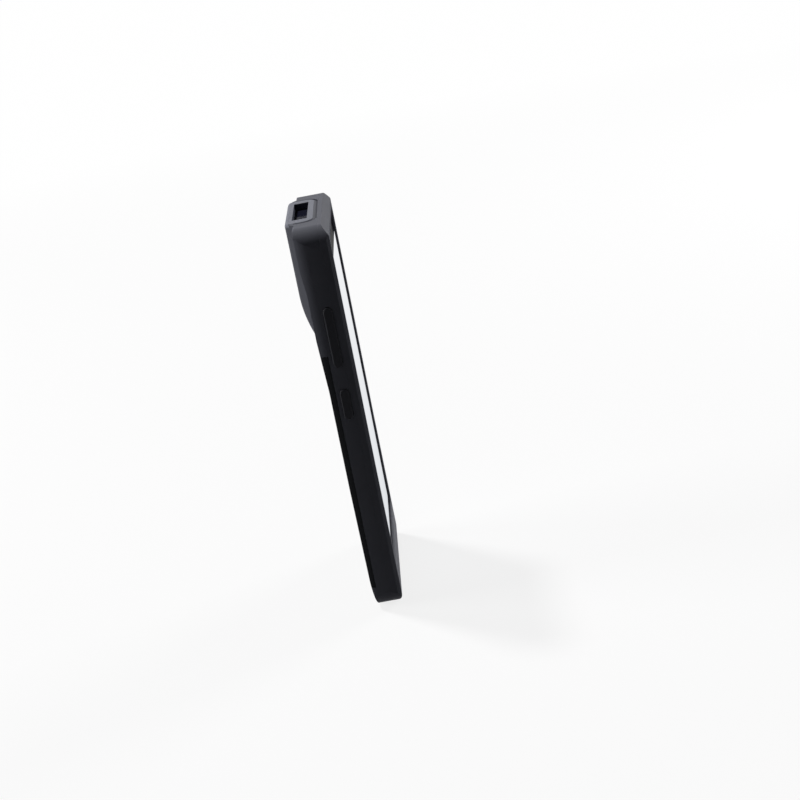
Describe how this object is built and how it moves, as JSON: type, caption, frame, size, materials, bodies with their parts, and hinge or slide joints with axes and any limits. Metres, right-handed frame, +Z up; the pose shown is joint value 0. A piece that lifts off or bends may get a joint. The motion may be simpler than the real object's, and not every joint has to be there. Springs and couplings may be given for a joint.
{
  "type": "handheld barcode data terminal",
  "caption": "Slim slate-style handheld barcode terminal with a scanner pod in its top end, side keys and a lift-off battery cover.",
  "frame": {"origin": "middle of the data port's mouth, on the flat of the bottom end that it stands on", "axes": "+Z up the handset towards the scan window, -Y out of the screen, -X the user's left side"},
  "size_m": [0.0774, 0.0175, 0.1631],
  "materials": {
    "housing": "fine moulded texture, matt",
    "cover_plastic": "fine moulded texture, matt",
    "frame_grey": "satin moulded",
    "front_glass": "polished toughened glass, black printed border",
    "display": "lit white panel",
    "seal_rubber": "matt",
    "chassis": "cast, tumbled",
    "mesh": "fine punched mesh",
    "black_plastic": "satin",
    "clear_plastic": "clear, frosted",
    "tinted_window": "dark tinted, polished",
    "lens_glass": "coated lens",
    "circuit_board": "solder mask",
    "shield": "tinned sheet",
    "flex": "polyimide film",
    "gold": "gold plated",
    "screw_steel": "black zinc",
    "battery_wrap": "satin film",
    "key_plastic": "satin, slightly rubbery"
  },
  "bodies": {
    "terminal": {"front_bezel": "housing", "rear_housing": "housing", "window_frame": "frame_grey", "cover_glass": "front_glass", "glass_seal": "seal_rubber", "display_panel": "display", "chassis_plate": "chassis", "earpiece_mesh": "mesh", "receiver": "black_plastic", "front_camera": "black_plastic", "status_light": "clear_plastic", "scan_window": "tinted_window", "window_seal": "seal_rubber", "scan_engine": "black_plastic", "imager_lens": "lens_glass", "aimer_lens": "lens_glass", "illumination_leds": "clear_plastic", "engine_bracket": "chassis", "rear_camera": "black_plastic", "camera_window": "lens_glass", "flash_lens": "clear_plastic", "main_board": "circuit_board", "shield_cans": "shield", "card_holder": "shield", "vibration_motor": "shield", "battery_connector": "black_plastic", "side_switches": "shield", "key_flex": "flex", "board_flex": "flex", "sub_board": "circuit_board", "usb_socket": "shield", "dock_contacts": "gold", "loudspeaker": "black_plastic", "microphone": "shield", "battery_gasket": "seal_rubber", "housing_screws": "screw_steel"},
    "battery_cover": {"battery_cover": "cover_plastic"},
    "cover_latch": {"cover_latch": "key_plastic"},
    "battery": {"battery_pack": "battery_wrap", "battery_pads": "gold"},
    "left_scan_key": {"left_scan_key": "key_plastic"},
    "right_scan_key": {"right_scan_key": "key_plastic"},
    "volume_key": {"volume_key": "key_plastic"},
    "power_key": {"power_key": "key_plastic"}
  },
  "joints": [
    {"name": "cover_lift", "type": "slide", "parent": "terminal", "child": "battery_cover", "axis": [0, 1, 0], "range_m": [0, 0.016]},
    {"name": "battery_lift", "type": "slide", "parent": "terminal", "child": "battery", "axis": [0, 1, 0], "range_m": [0, 0.008]},
    {"name": "latch_slide", "type": "slide", "parent": "battery_cover", "child": "cover_latch", "axis": [0, 0, -1], "range_m": [0, 0.0024]},
    {"name": "left_scan_press", "type": "slide", "parent": "terminal", "child": "left_scan_key", "axis": [1, 0, 0], "range_m": [0, 0.00035], "stiffness_N_per_m": 3500},
    {"name": "right_scan_press", "type": "slide", "parent": "terminal", "child": "right_scan_key", "axis": [-1, 0, 0], "range_m": [0, 0.00035], "stiffness_N_per_m": 3500},
    {"name": "power_press", "type": "slide", "parent": "terminal", "child": "power_key", "axis": [-1, 0, 0], "range_m": [0, 0.00035], "stiffness_N_per_m": 3500},
    {"name": "volume_rock", "type": "hinge", "parent": "terminal", "child": "volume_key", "pos_m": [-0.0356, -0.00045, 0.091], "axis": [0, 1, 0], "range_deg": [-2.2, 2.2], "stiffness_Nm_per_rad": 0.3}
  ],
  "couplings": [
    {"joint": "battery_lift", "follows": "cover_lift", "ratio": 0.5}
  ]
}
